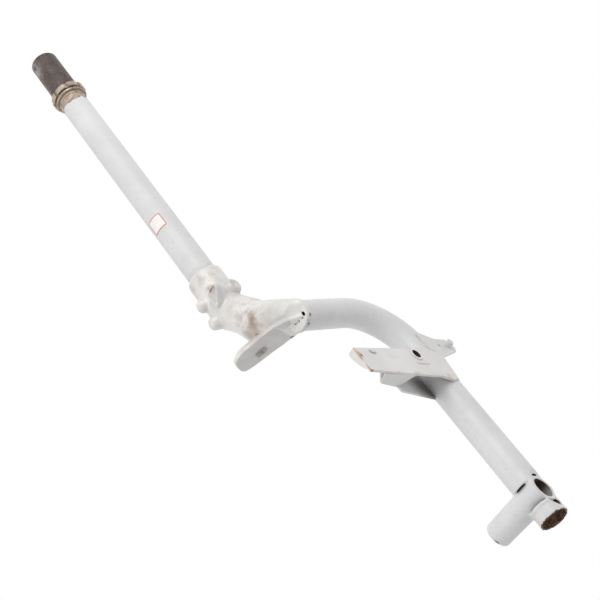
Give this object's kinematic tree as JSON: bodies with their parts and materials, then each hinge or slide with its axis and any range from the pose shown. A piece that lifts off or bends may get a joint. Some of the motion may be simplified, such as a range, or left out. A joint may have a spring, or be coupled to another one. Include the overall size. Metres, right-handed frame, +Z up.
{
  "type": "single-sided scooter front fork",
  "caption": "Single-sided scooter front fork with a threaded steering column, cast crown, bent tubular leg, shock bracket and a cross bore for the wheel link.",
  "frame": {"origin": "on the steering axis at the lower face of the mudguard flange", "axes": "+Z up the steering axis towards the threaded end, +X outboard to the side the leg is on, +Y forward"},
  "size_m": [0.1379, 0.2199, 0.8787],
  "materials": {
    "primer": "satin",
    "cast_primer": "satin",
    "bare_steel": "matte",
    "nut_metal": "satin",
    "steel": "satin",
    "rust": "matte",
    "label": "matte"
  },
  "bodies": {
    "fork": {"steering_tube": "primer", "column_end": "bare_steel", "keyed_washer": "nut_metal", "crown_casting": "cast_primer", "mudguard_flange": "cast_primer", "leg_tube": "primer", "leg_end_sleeve": "primer", "leg_plug": "rust", "pivot_housing": "primer", "bracket_plate": "primer", "bracket_inner": "primer", "bracket_floor": "primer", "bracket_arm": "primer", "bracket_bush": "primer", "arm_boss": "primer", "socket_weld": "primer", "mouth_weld": "primer", "bracket_welds": "primer", "flange_rivet": "steel", "label_patch": "label"},
    "nut": {"ring_nut": "nut_metal"}
  },
  "joints": [
    {"name": "nut_turn", "type": "hinge", "parent": "fork", "child": "nut", "pos_m": [0, 0, 0.4757], "axis": [0, 0, 1], "range_deg": [0, 360]}
  ]
}
